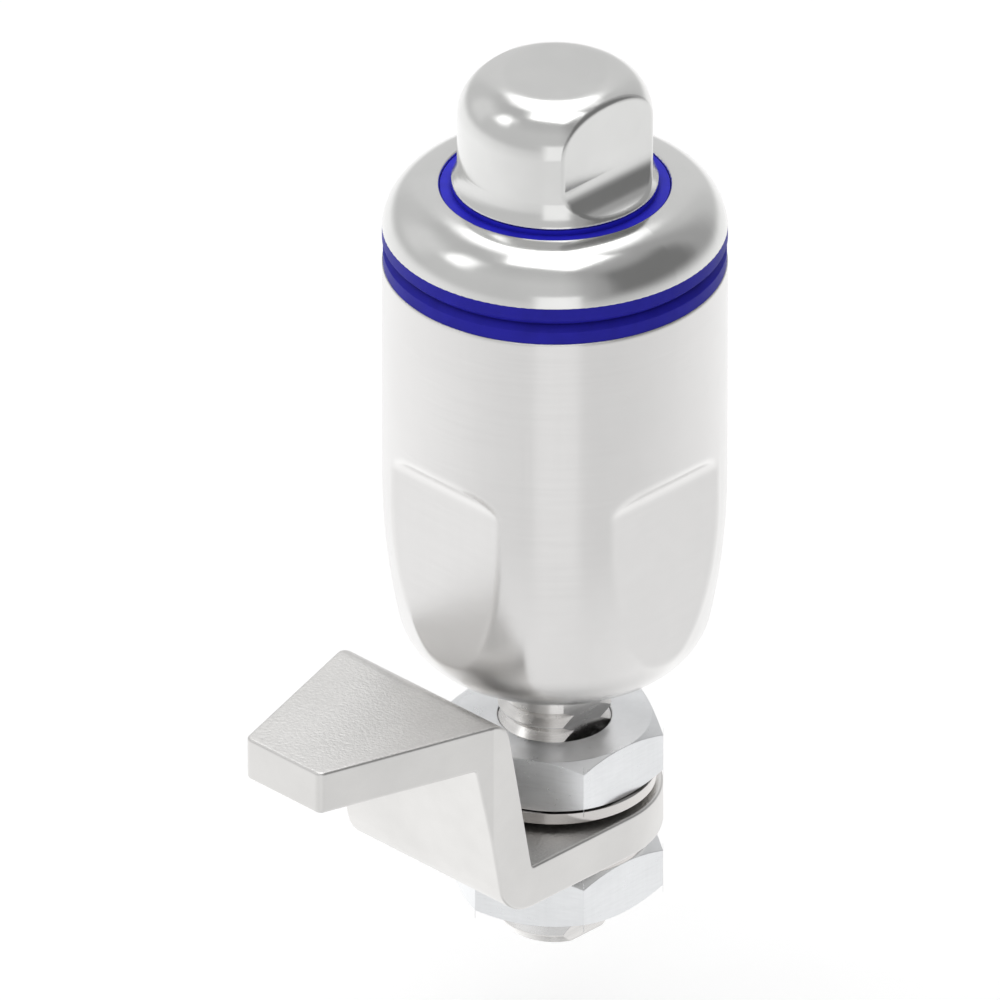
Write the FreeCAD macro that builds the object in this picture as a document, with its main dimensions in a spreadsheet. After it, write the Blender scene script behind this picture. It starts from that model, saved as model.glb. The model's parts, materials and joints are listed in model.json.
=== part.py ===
import FreeCAD, Part
import math
import os
import Sketcher

# Compression latch for a door or panel. The origin is on the turning axis, in the plane where the
# panel is clamped, +Z points out of the panel towards the head, and the tongue points along -Y.
# Lengths are millimetres and angles are degrees.

SIZES = (
    # Head and shaft of the actuator
    ("head_height", 10.565, "collar's lower face to the top of the head"),
    ("head_round", 4.05, "rounding between the head's side and top"),
    ("head_across_flats", 13.0, "wrench size of the head"),
    ("head_flats_height", 7.2, "length of the wrench flats below the head's top"),
    ("head_flats_fillet", 3.0, "run-out radius below the wrench flats"),
    ("head_edge_round", 0.6, "rounding along the edges of the wrench flats"),
    ("collar_step", 0.73, "collar's radius above the journal's"),
    ("collar_flare", 0.53, "width of the flare from the head to the collar"),
    ("collar_flare_height", 2.0, "height of that flare"),
    ("collar_rim", 0.2, "upright rim of the collar"),
    ("collar_rim_round", 0.3, "rounding between the flare and the rim"),
    ("collar_edge_round", 0.1, "rounding of the collar's lower edge"),
    ("collar_gap", 0.285, "collar above the flange"),
    ("journal_step", 0.8, "journal's radius above the skirt's"),
    ("journal_length", 2.4, "journal below the seal's pocket"),
    ("skirt_wall", 2.45, "wall of the skirt, the actuator's tubular shaft"),
    ("actuator_bore_depth", 2.0, "bore of the shaft above the journal's shoulder"),
    ("ring_groove_depth", 0.6, "groove of the retaining ring"),

    # Housing
    ("flange_height", 4.18, "flange above its seal"),
    ("flange_round", 4.713, "domed edge of the flange"),
    ("seal_land", 0.02, "flat rim of the flange around the shaft seal"),
    ("pocket_edge_round", 0.25, "rounding between that rim and the shaft seal's pocket"),
    ("seal_pocket_depth", 2.55, "depth of the shaft seal's pocket"),
    ("neck_wall", 2.1, "wall of the threaded neck around its chamber"),
    ("neck_length", 34.8, "neck below the flange"),
    ("neck_chamfer", 0.8, "chamfer at the neck's end"),
    ("neck_thread_start", 4.5, "first thread groove below the flange"),
    ("fine_pitch", 1.5, "pitch of both threads"),
    ("thread_depth", 0.65, "depth of both threads"),
    ("chamber_width", 1.4, "width of the chamber around the skirt at the neck's end"),
    ("chamber_depth", 14.0, "depth of that chamber"),

    # Seals
    ("seal_thickness", 1.77, "each of the two outer seals"),
    ("seal_edge", 0.6, "bevel that forms the groove between the outer seals"),
    ("shaft_seal_width", 1.02, "shaft seal from the collar to its pocket's wall"),
    ("seal_drop", 0.27, "flat outer band of the shaft seal below the flange's top"),
    ("cap_seal_inset", 0.08, "cap seal's radius below the cap's"),
    ("cord_diameter", 1.5, "section of the round sealing ring"),
    ("cord_depth", 3.5, "sealing ring below the journal's shoulder"),

    # Cap nut
    ("neck_clearance", 3.94, "cap nut's floor below the neck's end"),
    ("cap_side_height", 13.26, "height of the large side radius"),
    ("cap_side_radius", 66.5, "large side radius"),
    ("cap_shoulder_radius", 5.8, "rounding into the bottom"),
    ("cap_across_flats", 27.0, "wrench size of the cap nut"),
    ("cap_flats_rise", 3.1, "flats above the end of the straight side"),
    ("cap_flats_fillet", 2.4, "run-out radius above the flats"),
    ("cap_edge_round", 1.3, "rounding round each flat"),
    ("cap_floor_thickness", 4.0, "bottom of the cap nut"),
    ("outlet_gap", 0.4, "cap nut's outlet around the spindle"),

    # Bearings and stops inside the neck
    ("thrust_thickness", 0.8, "washer under the journal's shoulder"),
    ("shim_thickness", 0.6, "washer above the retaining ring"),
    ("ring_thickness", 1.0, "retaining ring"),
    ("ring_opening", 30.0, "angle left open in the retaining ring"),
    ("bush_length", 5.5, "guide bush in the neck's end"),
    ("segment_thickness", 3.0, "stop segment"),
    ("disc_inset", 1.9, "stop disc without its lug, inside the chamber's wall"),
    ("lug_angle", 30.0, "angle taken by the stop disc's lug"),
    ("turn_angle", 90.0, "travel of the lug between its stops"),
    ("stop_play", 0.5, "angle between the lug and a stop at each end"),
    ("running_gap", 0.1, "between turning or sliding faces"),
    ("chamber_gap", 0.25, "between turning pieces and the chamber's wall"),
    ("thread_gap", 0.05, "between two threads, and a fitted piece and its seat"),

    # Spindle and drive
    ("spindle_diameter", 9.9, "crest of the spindle's thread"),
    ("draw_gap", 0.33, "cap nut above the upper nut when the spindle is drawn in"),
    ("spindle_thread", 23.6, "length of the spindle's thread"),
    ("spindle_across_flats", 8.0, "two flats of the spindle"),
    ("flats_margin", 4.63, "those flats above the stop disc"),
    ("spindle_end_chamfer", 0.85, "height of the chamfer at the spindle's end"),
    ("spindle_end_inset", 0.52, "width of that chamfer"),
    ("spindle_thread_start", 0.95, "first thread groove above the spindle's end"),
    ("spigot_diameter", 5.0, "spigot inside the return spring"),
    ("spigot_length", 5.0, "length of that spigot"),
    ("draw_stroke", 6.0, "how far the spindle is drawn in"),
    ("pin_diameter", 3.0, "cross pin"),
    ("pin_depth", 14.0, "cross pin below the journal's shoulder"),
    ("pin_margin", 4.0, "spindle above the cross pin"),
    ("slot_gap", 0.2, "slot wider than the cross pin"),
    ("wire_diameter", 0.9, "wire of the return spring"),
    ("spring_turns", 5.0, "turns of the return spring"),
    ("spring_diameter", 7.5, "mean diameter of the return spring"),

    # Nuts and washers
    ("nut_across_flats", 17.0, "wrench size of the thin nuts"),
    ("nut_height", 5.0, "height of the thin nuts"),
    ("nut_chamfer_height", 0.75, "chamfer at the corners of a nut"),
    ("nut_countersink", 0.1, "countersink of a nut's hole"),
    ("nut_projection", 3.94, "spindle below the lower nut"),
    ("washer_hole_gap", 0.3, "washer's hole around the spindle"),
    ("lower_washer_diameter", 17.0, "flat washer under the tongue"),
    ("lower_washer_thickness", 1.06, "flat washer under the tongue"),
    ("dish_diameter", 18.0, "dished lock washer"),
    ("dish_thickness", 1.0, "dished lock washer"),
    ("dish_rise", 0.57, "raised rim of the dished washer"),

    # Tongue
    ("tongue_width", 19.0, "tongue at the spindle"),
    ("tongue_thickness", 4.03, "flat bar of the tongue"),
    ("tongue_reach", 33.4, "axis to the tip"),
    ("tongue_offset", 16.02, "rise from the inner leaf to the strike face"),
    ("tongue_lean", 3.11, "outward lean of the riser over that rise"),
    ("riser_foot", 12.2, "axis to the inside corner of the riser"),
    ("taper_start", 17.0, "axis to where the tongue narrows"),
    ("tip_width", 9.1, "width at the tip"),
    ("lower_bend", 4.0, "outer radius of the lower bend"),
    ("upper_bend", 2.5, "outer radius of the upper bend"),
    ("tip_round", 0.8, "rounding of the tip's corners"),
    ("tongue_edge_round", 0.25, "rounding of the long edges"),
    ("hole_fit", 0.06, "tongue's and stop disc's hole around the spindle"),
)

FORMULAS = (
    ("spindle_radius", "spindle_diameter / 2"),
    ("actuator_bore", "spindle_radius + running_gap"),
    ("skirt_radius", "actuator_bore + skirt_wall"),
    ("journal_radius", "skirt_radius + journal_step"),
    ("collar_radius", "journal_radius + collar_step"),
    ("flare_radius", "(collar_flare_height^2 + collar_flare^2) / (2 * collar_flare)"),
    ("head_radius", "collar_radius - collar_flare"),
    ("seal_pocket_radius", "collar_radius + shaft_seal_width"),
    ("pocket_edge_radius", "seal_pocket_radius + pocket_edge_round"),
    ("flange_crown", "pocket_edge_radius + seal_land"),
    ("flange_radius", "flange_crown + sqrt(flange_round^2 - (flange_round - flange_height)^2)"),
    ("flange_top", "seal_thickness + flange_height"),
    ("pocket_edge_base", "flange_top - pocket_edge_round"),
    ("seal_pocket_floor", "flange_top - seal_pocket_depth"),
    ("collar_base", "flange_top + collar_gap"),
    ("rim_top", "collar_base + collar_rim"),
    ("flare_top", "rim_top + collar_flare_height"),
    ("head_top", "collar_base + head_height"),
    ("head_crown", "head_radius - head_round"),
    ("head_round_base", "head_top - head_round"),
    ("head_half_flats", "head_across_flats / 2"),
    ("head_flats_base", "head_top - head_flats_height"),
    ("head_cut_base", "head_flats_base - head_flats_fillet"),
    ("head_cut_side", "head_half_flats + head_flats_fillet"),
    ("head_cut_top", "head_top + head_height"),
    ("shoulder", "seal_pocket_floor - journal_length"),
    ("shelf", "shoulder - thrust_thickness"),
    ("counterbore_radius", "journal_radius + running_gap"),
    ("bearing_radius", "skirt_radius + running_gap"),
    ("chamber_radius", "skirt_radius + chamber_width"),
    ("neck_radius", "chamber_radius + neck_wall"),
    ("neck_end", "seal_thickness - neck_length"),
    ("neck_chamfer_top", "neck_end + neck_chamfer"),
    ("neck_chamfer_radius", "neck_radius - neck_chamfer"),
    ("neck_thread_top", "seal_thickness - neck_thread_start"),
    ("neck_threaded", "neck_thread_top - neck_chamfer_top - fine_pitch"),
    ("chamber_top", "neck_end + chamber_depth"),
    ("half_groove", "fine_pitch * 15 / 32"),
    ("neck_root", "neck_radius - thread_depth"),
    ("neck_clear", "neck_radius + thread_depth"),
    ("neck_clear_high", "neck_thread_top + 2 * half_groove"),
    ("neck_clear_low", "neck_thread_top - 2 * half_groove"),
    ("shim_base", "chamber_top - shim_thickness"),
    ("ring_top", "shim_base - thread_gap"),
    ("ring_base", "ring_top - ring_thickness"),
    ("ring_groove_radius", "skirt_radius - ring_groove_depth"),
    ("ring_seat_radius", "ring_groove_radius + thread_gap"),
    ("ring_outer", "chamber_radius - chamber_gap"),
    ("ring_groove_top", "ring_top + thread_gap"),
    ("ring_groove_base", "ring_base - thread_gap"),
    ("ring_angle", "360 - ring_opening"),
    ("bush_top", "neck_end + bush_length"),
    ("bush_radius", "chamber_radius - thread_gap"),
    ("segment_top", "bush_top + segment_thickness"),
    ("skirt_end", "segment_top + 2 * running_gap"),
    ("disc_radius", "chamber_radius - disc_inset"),
    ("disc_base", "bush_top + running_gap"),
    ("disc_top", "segment_top - running_gap"),
    ("lug_root", "disc_radius - segment_thickness / 4"),
    ("segment_inner", "disc_radius + chamber_gap"),
    ("segment_angle", "360 - turn_angle - lug_angle - 2 * stop_play"),
    ("cord_radius", "cord_diameter / 2"),
    ("cord_height", "shoulder - cord_depth"),
    ("cord_groove_radius", "bearing_radius - cord_diameter"),
    ("cord_centre_radius", "bearing_radius - cord_radius"),
    ("cord_groove_top", "cord_height + cord_radius + running_gap"),
    ("cord_groove_base", "cord_height - cord_radius - running_gap"),
    ("bore_top", "shoulder + actuator_bore_depth"),
    ("cap_floor", "neck_end - neck_clearance"),
    ("cap_bottom", "cap_floor - cap_floor_thickness"),
    ("cap_shoulder_rise", "cap_shoulder_radius * cap_side_height / cap_side_radius"),
    ("cap_side_end", "cap_bottom + cap_shoulder_radius - cap_shoulder_rise"),
    ("cap_straight_end", "cap_side_end + cap_side_height"),
    ("upper_nut_base", "cap_bottom - draw_stroke - draw_gap - nut_height"),
    ("dish_hub_top", "upper_nut_base - dish_rise"),
    ("leaf_top", "dish_hub_top - dish_thickness"),
    ("dish_rim_base", "leaf_top + dish_rise"),
    ("leaf_base", "leaf_top - tongue_thickness"),
    ("lower_washer_base", "leaf_base - lower_washer_thickness"),
    ("lower_nut_base", "lower_washer_base - nut_height"),
    ("spindle_end", "lower_nut_base - nut_projection"),
    ("pin_height", "shoulder - pin_depth"),
    ("pin_raised", "pin_height + draw_stroke"),
    ("pin_radius", "pin_diameter / 2"),
    ("pin_reach", "2 * skirt_radius - running_gap"),
    ("spindle_top", "pin_height + pin_margin"),
    ("spigot_radius", "spigot_diameter / 2"),
    ("spigot_top", "spindle_top + spigot_length"),
    ("spindle_chamfer_top", "spindle_end + spindle_end_chamfer"),
    ("spindle_chamfer_radius", "spindle_radius - spindle_end_inset"),
    ("spindle_half_flats", "spindle_across_flats / 2"),
    ("spindle_flats_top", "disc_top + flats_margin"),
    ("spindle_cut_side", "2 * spindle_radius"),
    ("spindle_cut_base", "spindle_end - spindle_radius"),
    ("spindle_threaded", "spindle_thread - spindle_thread_start"),
    ("spindle_groove_low", "spindle_end + spindle_thread_start"),
    ("spindle_groove_mid", "spindle_groove_low + half_groove"),
    ("spindle_clear_high", "spindle_groove_mid + 2 * half_groove"),
    ("spindle_clear_low", "spindle_groove_mid - 2 * half_groove"),
    ("spindle_root", "spindle_radius - thread_depth"),
    ("spindle_clear", "spindle_radius + thread_depth"),
    ("slot_pitch", "4 * draw_stroke"),
    ("slot_slope", "slot_pitch / (2 * pi * actuator_bore)"),
    ("slot_height", "pin_diameter * sqrt(1 + slot_slope^2) + slot_gap"),
    ("slot_low", "pin_height - slot_height / 2"),
    ("slot_high", "pin_height + slot_height / 2"),
    ("slot_inner", "actuator_bore - 2 * running_gap"),
    ("slot_outer", "skirt_radius + 5 * running_gap"),
    ("slot_end_radius", "slot_height / 2 + running_gap"),
    ("spring_radius", "spring_diameter / 2"),
    ("wire_radius", "wire_diameter / 2"),
    ("spring_base", "spindle_top + wire_radius"),
    ("spring_rise", "bore_top - spindle_top - wire_diameter"),
    ("spring_pitch", "spring_rise / spring_turns"),
    ("seal_hole_radius", "neck_radius + running_gap"),
    ("seal_bevel_radius", "flange_radius - seal_edge"),
    ("cap_radius", "flange_radius"),
    ("cap_seal_radius", "cap_radius - cap_seal_inset"),
    ("cap_bevel_radius", "cap_seal_radius - seal_edge"),
    ("cap_thread_radius", "neck_radius + thread_gap"),
    ("cap_side_run", "sqrt(cap_side_radius^2 - cap_side_height^2)"),
    ("cap_side_end_radius", "cap_radius - cap_side_radius + cap_side_run"),
    ("cap_foot", "cap_side_end_radius - cap_shoulder_radius * cap_side_run / cap_side_radius"),
    ("outlet_radius", "spindle_radius + outlet_gap"),
    ("cap_half_flats", "cap_across_flats / 2"),
    ("cap_flats_top", "cap_straight_end + cap_flats_rise"),
    ("cap_cut_top", "cap_flats_top + cap_flats_fillet"),
    ("cap_cut_start", "cap_half_flats + cap_flats_fillet"),
    ("cap_cut_side", "2 * cap_radius"),
    ("cap_cut_base", "cap_bottom - cap_radius"),
    ("shaft_seal_outer", "seal_pocket_radius - thread_gap"),
    ("shaft_seal_step", "collar_radius - thread_gap"),
    ("shaft_seal_band", "flange_top - seal_drop"),
    ("shaft_seal_lip", "collar_base - thread_gap"),
    ("dish_outer", "dish_diameter / 2"),
    ("lower_washer_outer", "lower_washer_diameter / 2"),
    ("washer_hole", "spindle_radius + washer_hole_gap"),
    ("nut_half", "nut_across_flats / 2"),
    ("nut_corner", "nut_across_flats / sqrt(3)"),
    ("nut_half_side", "nut_corner / 2"),
    ("nut_bore", "spindle_radius + thread_gap"),
    ("nut_countersunk", "nut_bore + nut_countersink"),
    ("nut_countersink_top", "nut_height - nut_countersink"),
    ("nut_chamfer_base", "nut_height - nut_chamfer_height"),
    ("nut_clear", "nut_half + nut_chamfer_height * sqrt(3)"),
    ("tongue_half", "tongue_width / 2"),
    ("tip_half", "tip_width / 2"),
    ("strike_top", "leaf_top + tongue_offset"),
    ("strike_base", "strike_top - tongue_thickness"),
    ("tongue_rise", "strike_top - leaf_base"),
    ("riser_width", "tongue_thickness * sqrt(tongue_offset^2 + tongue_lean^2) / tongue_offset"),
    ("riser_inner_top", "riser_foot + tongue_lean"),
    ("riser_setback", "tongue_lean * tongue_thickness / tongue_offset"),
    ("riser_outer_foot", "riser_foot + riser_width - riser_setback"),
    ("riser_outer_top", "riser_outer_foot + tongue_lean"),
    ("tongue_clear", "tongue_reach + tongue_width"),
    ("hole_half", "spindle_half_flats + hole_fit"),
    ("hole_radius", "spindle_radius + hole_fit"),
    ("hole_chord", "sqrt(hole_radius^2 - hole_half^2)"),
)

SHARP_ANGLE = math.radians(12)
TOLERANCE = 1e-3

doc = FreeCAD.newDocument("compression_latch")
sheet = doc.addObject("Spreadsheet::Sheet", "Sizes")


def fill_sheet():
    """Writes the driving dimensions, then the sizes worked out from them."""
    for row, (alias, value, meaning) in enumerate(SIZES, start=1):
        sheet.set(f"A{row}", meaning)
        sheet.set(f"B{row}", str(value))
        sheet.setAlias(f"B{row}", alias)
    for row, (alias, formula) in enumerate(FORMULAS, start=len(SIZES) + 1):
        sheet.set(f"B{row}", f"={formula}")
        sheet.setAlias(f"B{row}", alias)
    doc.recompute()


def size(alias):
    """Number in a cell. A leading minus turns it round, and None is zero."""
    if alias is None:
        return 0.0
    if alias.startswith("-"):
        return -float(sheet.get(alias[1:]))
    return float(sheet.get(alias))


def bind(target, path, alias):
    """Ties a property or a constraint to a cell."""
    if alias.startswith("-"):
        target.setExpression(path, f"-Sizes.{alias[1:]}")
    else:
        target.setExpression(path, f"Sizes.{alias}")


# Sketches

def new_body(label):
    body = doc.addObject("PartDesign::Body", label)
    body.Label = label
    return body


def new_sketch(body, name, plane, height=None):
    """Sketch on one of the body's own planes, moved along its normal where a height is given."""
    sketch = body.newObject("Sketcher::SketchObject", name)
    base = next(item for item in body.Origin.OriginFeatures if item.Role == plane)
    sketch.AttachmentSupport = [(base, "")]
    sketch.MapMode = "FlatFace"
    if height:
        bind(sketch, "AttachmentOffset.Base.z", height)
    return sketch


def place(sketch, geometry, end, across, up):
    """Fixes a point of the sketch at two cells, or on an axis where the cell is None."""
    for kind, alias, axis in (("DistanceX", across, -2), ("DistanceY", up, -1)):
        if alias is None:
            sketch.addConstraint(Sketcher.Constraint("PointOnObject", geometry, end, axis))
        else:
            constraint = Sketcher.Constraint(kind, -1, 1, geometry, end, size(alias))
            bind(sketch, f"Constraints[{sketch.addConstraint(constraint)}]", alias)


def arc_between(start, finish, radius, side):
    """Smaller arc between two points, with its centre left or right of the way from one to the other."""
    chord = finish - start
    middle = (start + finish) / 2
    height = math.sqrt(max(radius ** 2 - (chord.Length / 2) ** 2, 0.0))
    left = FreeCAD.Vector(-chord.y, chord.x, 0).normalize()
    centre = middle + left * (height if side == "left" else -height)
    first, last = (start, finish) if side == "left" else (finish, start)
    angles = [math.atan2(point.y - centre.y, point.x - centre.x) for point in (first, last)]
    circle = Part.Circle(centre, FreeCAD.Vector(0, 0, 1), radius)
    return Part.ArcOfCircle(circle, angles[0], angles[1])


def outline(sketch, corners):
    """Closed outline through the corners. A corner with a radius and a side starts an arc."""
    ends = []
    for number, corner in enumerate(corners):
        following = corners[(number + 1) % len(corners)]
        start = FreeCAD.Vector(size(corner[0]), size(corner[1]), 0)
        finish = FreeCAD.Vector(size(following[0]), size(following[1]), 0)
        if len(corner) == 2:
            ends.append((sketch.addGeometry(Part.LineSegment(start, finish)), 1, 2))
            continue
        radius, side = corner[2:]
        geometry = sketch.addGeometry(arc_between(start, finish, size(radius), side))
        ends.append((geometry, 1, 2) if side == "left" else (geometry, 2, 1))
        constraint = Sketcher.Constraint("Radius", geometry, size(radius))
        bind(sketch, f"Constraints[{sketch.addConstraint(constraint)}]", radius)
    for number, (geometry, _, last) in enumerate(ends):
        after, first, _ = ends[(number + 1) % len(ends)]
        sketch.addConstraint(Sketcher.Constraint("Coincident", geometry, last, after, first))
    for (geometry, first, _), corner in zip(ends, corners):
        place(sketch, geometry, first, corner[0], corner[1])


def circle(sketch, across, up, radius):
    centre = FreeCAD.Vector(size(across), size(up), 0)
    shape = Part.Circle(centre, FreeCAD.Vector(0, 0, 1), size(radius))
    geometry = sketch.addGeometry(shape)
    constraint = Sketcher.Constraint("Radius", geometry, size(radius))
    bind(sketch, f"Constraints[{sketch.addConstraint(constraint)}]", radius)
    if across is None and up is None:
        sketch.addConstraint(Sketcher.Constraint("Coincident", geometry, 3, -1, 1))
    else:
        place(sketch, geometry, 3, across, up)


def ring_outline(sketch, inner, outer, base, top):
    """Rectangular section of a ring."""
    outline(sketch, [(inner, base), (inner, top), (outer, top), (outer, base)])


def double_d(sketch, half, chord, radius):
    """Round hole with two flats that face along X."""
    outline(sketch, [
        (half, chord),
        (half, f"-{chord}", radius, "right"),
        (f"-{half}", f"-{chord}"),
        (f"-{half}", chord, radius, "right"),
    ])


# Features

def turn(body, name, sketch, angle=None, kind="Revolution"):
    """Turns a sketch about Z, all round or through an angle centred on the sketch."""
    feature = body.newObject(f"PartDesign::{kind}", name)
    feature.Profile = sketch
    feature.ReferenceAxis = (sketch, ["V_Axis"])
    feature.Angle = 360
    if angle:
        feature.Midplane = True
        bind(feature, "Angle", angle)
    doc.recompute()
    return feature


def pad(body, name, sketch, length):
    feature = body.newObject("PartDesign::Pad", name)
    feature.Profile = sketch
    bind(feature, "Length", length)
    doc.recompute()
    return feature


def cut_through(body, name, sketch):
    """Cuts a sketch through the body, both ways."""
    before = body.Shape.Volume
    feature = body.newObject("PartDesign::Pocket", name)
    feature.Profile = sketch
    feature.Type = "ThroughAll"
    feature.SideType = "Symmetric"
    doc.recompute()
    check_cut(body, name, before)
    return feature


def check_cut(body, name, before):
    if body.Shape.Volume >= before:
        raise ValueError(f"{name} cuts nothing")


def repeat_round(body, name, feature, sketch, copies):
    pattern = body.newObject("PartDesign::PolarPattern", name)
    pattern.Originals = [feature]
    pattern.Axis = (sketch, ["V_Axis"])
    pattern.Angle = 360
    pattern.Occurrences = copies
    body.Tip = pattern
    doc.recompute()
    return pattern


def thread(body, name, corners, length):
    """V grooves a pitch apart, which stand for the thread. The last corner ends the first groove."""
    sketch = new_sketch(body, f"{name}Section", "XZ_Plane")
    outline(sketch, corners)
    before = body.Shape.Volume
    groove = turn(body, f"{name}Groove", sketch, kind="Groove")
    check_cut(body, name, before)
    pattern = body.newObject("PartDesign::LinearPattern", name)
    pattern.Originals = [groove]
    pattern.Direction = (sketch, ["V_Axis"])
    pattern.Mode = "Spacing"
    pattern.setExpression("Offset", "Sizes.fine_pitch")
    pattern.setExpression("Occurrences", f"floor(Sizes.{length} / Sizes.fine_pitch)")
    body.Tip = pattern
    doc.recompute()
    return pattern


def edges_where(shape, test):
    """Names of the edges that pass a test."""
    names = [f"Edge{number}" for number, edge in enumerate(shape.Edges, start=1) if test(edge)]
    if not names:
        raise ValueError("no edge found")
    return names


def sharp_edges(shape):
    """Names of the edges where two faces meet at an angle."""
    def is_sharp(edge):
        faces = [face for face in shape.Faces if any(side.isSame(edge) for side in face.Edges)]
        middle = edge.valueAt((edge.FirstParameter + edge.LastParameter) / 2)
        normals = [face.normalAt(*face.Surface.parameter(middle)) for face in faces]
        return len(normals) == 2 and normals[0].getAngle(normals[1]) > SHARP_ANGLE

    return edges_where(shape, is_sharp)


def round_edges(body, name, base, edges, radius):
    feature = body.newObject("PartDesign::Fillet", name)
    feature.Base = (base, edges)
    bind(feature, "Radius", radius)
    doc.recompute()
    return feature


def on_circle(edge, radius):
    """True where both ends of an edge lie on the upright cylinder of that radius."""
    ends = [vertex.Point for vertex in edge.Vertexes]
    return all(abs(math.hypot(point.x, point.y) - radius) < TOLERANCE for point in ends)


# Housing and its seals

def make_housing():
    body = new_body("housing")
    sketch = new_sketch(body, "HousingSection", "XZ_Plane")
    outline(sketch, [
        ("seal_pocket_radius", "pocket_edge_base", "pocket_edge_round", "right"),
        ("pocket_edge_radius", "flange_top"),
        ("flange_crown", "flange_top", "flange_round", "right"),
        ("flange_radius", "seal_thickness"),
        ("neck_radius", "seal_thickness"),
        ("neck_radius", "neck_chamfer_top"),
        ("neck_chamfer_radius", "neck_end"),
        ("chamber_radius", "neck_end"),
        ("chamber_radius", "chamber_top"),
        ("bearing_radius", "chamber_top"),
        ("bearing_radius", "shelf"),
        ("counterbore_radius", "shelf"),
        ("counterbore_radius", "seal_pocket_floor"),
        ("seal_pocket_radius", "seal_pocket_floor"),
    ])
    turn(body, "HousingTurned", sketch)
    pattern = thread(body, "NeckThread", [
        ("neck_root", "neck_thread_top"),
        ("neck_clear", "neck_clear_high"),
        ("neck_clear", "neck_clear_low"),
    ], "neck_threaded")
    pattern.Reversed = True
    return body


def make_shaft_seal():
    body = new_body("shaft_seal")
    sketch = new_sketch(body, "ShaftSealSection", "XZ_Plane")
    outline(sketch, [
        ("counterbore_radius", "seal_pocket_floor"),
        ("counterbore_radius", "shaft_seal_lip"),
        ("shaft_seal_step", "shaft_seal_lip"),
        ("shaft_seal_step", "shaft_seal_band"),
        ("shaft_seal_outer", "shaft_seal_band"),
        ("shaft_seal_outer", "seal_pocket_floor"),
    ])
    turn(body, "ShaftSealRing", sketch)
    return body


def make_flange_seal():
    body = new_body("flange_seal")
    sketch = new_sketch(body, "FlangeSealSection", "XZ_Plane")
    outline(sketch, [
        ("seal_hole_radius", None),
        ("seal_hole_radius", "seal_thickness"),
        ("flange_radius", "seal_thickness"),
        ("flange_radius", "seal_edge"),
        ("seal_bevel_radius", None),
    ])
    turn(body, "FlangeSealRing", sketch)
    return body


def make_cap_seal():
    body = new_body("cap_seal")
    sketch = new_sketch(body, "CapSealSection", "XZ_Plane")
    outline(sketch, [
        ("seal_hole_radius", None),
        ("cap_bevel_radius", None),
        ("cap_seal_radius", "-seal_edge"),
        ("cap_seal_radius", "-seal_thickness"),
        ("seal_hole_radius", "-seal_thickness"),
    ])
    turn(body, "CapSealRing", sketch)
    return body


def make_cap_nut():
    body = new_body("cap_nut")
    sketch = new_sketch(body, "CapSection", "XZ_Plane")
    outline(sketch, [
        ("cap_thread_radius", "-seal_thickness"),
        ("cap_radius", "-seal_thickness"),
        ("cap_radius", "cap_straight_end", "cap_side_radius", "right"),
        ("cap_side_end_radius", "cap_side_end", "cap_shoulder_radius", "right"),
        ("cap_foot", "cap_bottom"),
        ("outlet_radius", "cap_bottom"),
        ("outlet_radius", "cap_floor"),
        ("cap_thread_radius", "cap_floor"),
    ])
    turn(body, "CapTurned", sketch)
    flat = new_sketch(body, "CapFlatSection", "XZ_Plane")
    outline(flat, [
        ("cap_half_flats", "cap_cut_base"),
        ("cap_half_flats", "cap_flats_top", "cap_flats_fillet", "right"),
        ("cap_cut_start", "cap_cut_top"),
        ("cap_cut_side", "cap_cut_top"),
        ("cap_cut_side", "cap_cut_base"),
    ])
    cut = cut_through(body, "CapFlat", flat)
    pattern = repeat_round(body, "CapFlats", cut, flat, 4)
    half = size("cap_half_flats")
    top = size("cap_cut_top")

    def beside_flat(edge):
        """True on the outline of a flat and its run-out, but not where those two meet."""
        middle = edge.valueAt((edge.FirstParameter + edge.LastParameter) / 2)
        reach = max(abs(middle.x), abs(middle.y))
        level = abs(edge.BoundBox.ZLength) < TOLERANCE
        flat = abs(reach - half) < TOLERANCE and not level
        return flat or on_circle(edge, size("cap_radius")) and reach > half and middle.z < top + TOLERANCE

    edges = edges_where(pattern.Shape, beside_flat)
    round_edges(body, "CapFlatRounds", pattern, edges, "cap_edge_round")
    return body


# Actuator

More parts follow.
